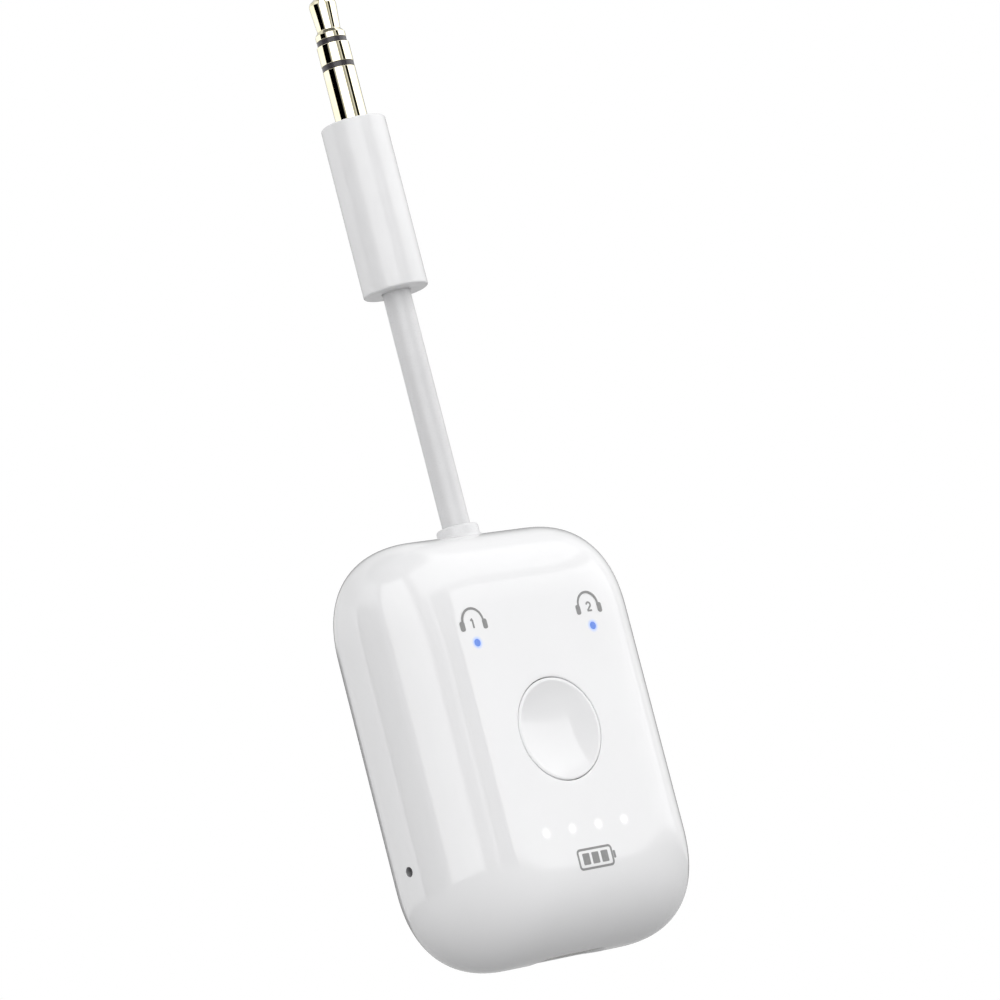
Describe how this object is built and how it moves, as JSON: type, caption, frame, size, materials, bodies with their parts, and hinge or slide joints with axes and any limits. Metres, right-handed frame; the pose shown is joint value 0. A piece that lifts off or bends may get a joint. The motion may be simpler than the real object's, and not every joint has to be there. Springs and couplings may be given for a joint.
{
  "type": "bluetooth audio adapter",
  "caption": "Pocket Bluetooth audio adapter: a rounded glossy case with a dished button, link and battery lamps and a charging port, on a short cord with a 3.5 mm plug.",
  "frame": {"origin": "centre of the plug's shoulder, where the plug seats against a socket", "axes": "+Z out along the plug, -Y out of the front face with the button, +X to the right seen from the front; the case hangs below on its cord"},
  "size_m": [0.0354, 0.0158, 0.1054],
  "materials": {
    "gloss_white": "polished moulded ABS",
    "satin_white": "satin overmoulded TPE",
    "gold_plate": "bright gold plating",
    "insulator": "moulded",
    "clear_guide": "clear moulded",
    "core_plastic": "natural moulded",
    "board_green": "solder mask",
    "chip_black": "moulded epoxy",
    "tin_plate": "tinned sheet",
    "steel": "bright",
    "ceramic": "fired",
    "capacitor_tan": "fired",
    "cell_foil": "laminate foil",
    "foam_grey": "foam",
    "tape_white": "adhesive tape",
    "wire_copper": "insulated wire",
    "print_grey": "pad printed ink",
    "lamp_blue": "lit lens",
    "lamp_white": "lit lens"
  },
  "bodies": {
    "case": {"main_shell": "gloss_white", "rear_cover": "gloss_white", "link_light_guides": "clear_guide", "battery_light_guide": "clear_guide", "main_board": "board_green", "board_screws": "steel", "bluetooth_chip": "chip_black", "shield_can": "tin_plate", "clock_crystal": "tin_plate", "chip_antenna": "ceramic", "power_inductor": "chip_black", "charger_chip": "chip_black", "memory_chip": "chip_black", "capacitors": "capacitor_tan", "resistors": "chip_black", "link_lamps": "ceramic", "battery_lamps": "ceramic", "mode_switch_base": "chip_black", "mode_switch_dome": "steel", "mode_switch_frame": "steel", "reset_switch_body": "chip_black", "usb_shell": "tin_plate", "usb_tongue": "chip_black", "usb_contacts": "gold_plate", "battery_cell": "cell_foil", "battery_protection_board": "board_green", "battery_leads": "wire_copper", "battery_tape": "tape_white", "foam_pad": "foam_grey", "cord_gland": "satin_white", "cord": "satin_white", "cord_wires": "wire_copper", "plug_handle": "satin_white", "plug_core": "core_plastic", "plug_wires": "wire_copper", "plug_sleeve": "gold_plate", "plug_sleeve_insulator": "insulator", "plug_ring": "gold_plate", "plug_ring_insulator": "insulator", "plug_tip": "gold_plate"},
    "button": {"mode_button": "gloss_white"},
    "switch_stem": {"mode_switch_plunger": "chip_black"},
    "reset_pin": {"reset_switch_plunger": "core_plastic"}
  },
  "joints": [
    {"name": "button_press", "type": "slide", "parent": "case", "child": "button", "axis": [0, 1, 0], "range_m": [0, 0.0003], "stiffness_N_per_m": 1500, "springref_m": -0.0003},
    {"name": "switch_stem_press", "type": "slide", "parent": "case", "child": "switch_stem", "axis": [0, 1, 0], "range_m": [0, 0.0003], "deforming": ["mode_switch_dome"]},
    {"name": "reset_press", "type": "slide", "parent": "case", "child": "reset_pin", "axis": [1, 0, 0], "range_m": [0, 0.00025], "stiffness_N_per_m": 800, "springref_m": -0.0003}
  ],
  "couplings": [
    {"joint": "switch_stem_press", "follows": "button_press", "ratio": 1}
  ]
}
